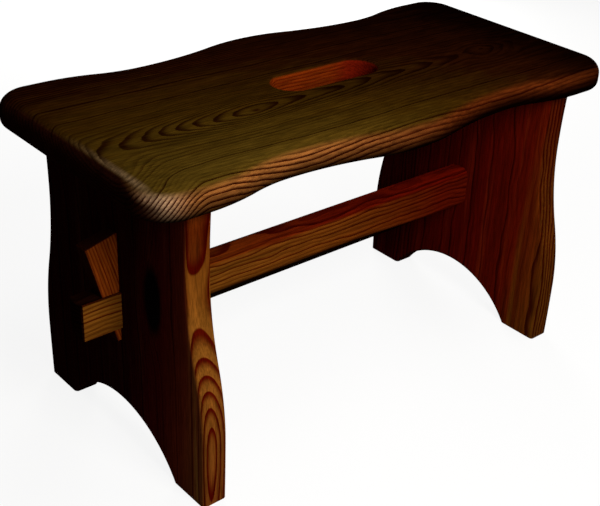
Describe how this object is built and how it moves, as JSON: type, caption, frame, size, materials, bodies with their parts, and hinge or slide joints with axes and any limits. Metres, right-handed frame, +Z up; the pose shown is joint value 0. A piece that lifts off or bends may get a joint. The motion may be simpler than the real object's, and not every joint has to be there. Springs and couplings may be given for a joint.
{
  "type": "stool",
  "caption": "Low wooden step stool: wavy-edged seat with a hand slot, two arched board legs and a rail wedged through them.",
  "frame": {"origin": "floor level, midway between the legs, at the bottom centre of the overall box", "axes": "+X along the seat's length, -Y towards the front, +Z up"},
  "size_m": [0.4, 0.1968, 0.227],
  "materials": {
    "seat_wood": "stained and oiled softwood",
    "leg_wood": "stained and oiled softwood",
    "rail_wood": "stained and oiled softwood",
    "wedge_wood": "stained and oiled softwood",
    "dowel_wood": "bare hardwood rod"
  },
  "bodies": {
    "frame": {"seat_board": "seat_wood", "left_leg_board": "leg_wood", "right_leg_board": "leg_wood", "stretcher_rail": "rail_wood", "left_dowel_front": "dowel_wood", "left_dowel_middle": "dowel_wood", "left_dowel_back": "dowel_wood", "right_dowel_front": "dowel_wood", "right_dowel_middle": "dowel_wood", "right_dowel_back": "dowel_wood"},
    "left_wedge": {"left_wedge": "wedge_wood"},
    "right_wedge": {"right_wedge": "wedge_wood"}
  },
  "joints": [
    {"name": "left_wedge_slide", "type": "slide", "parent": "frame", "child": "left_wedge", "axis": [0, 0, 1], "range_m": [0, 0.036]},
    {"name": "right_wedge_slide", "type": "slide", "parent": "frame", "child": "right_wedge", "axis": [0, 0, 1], "range_m": [0, 0.036]}
  ]
}
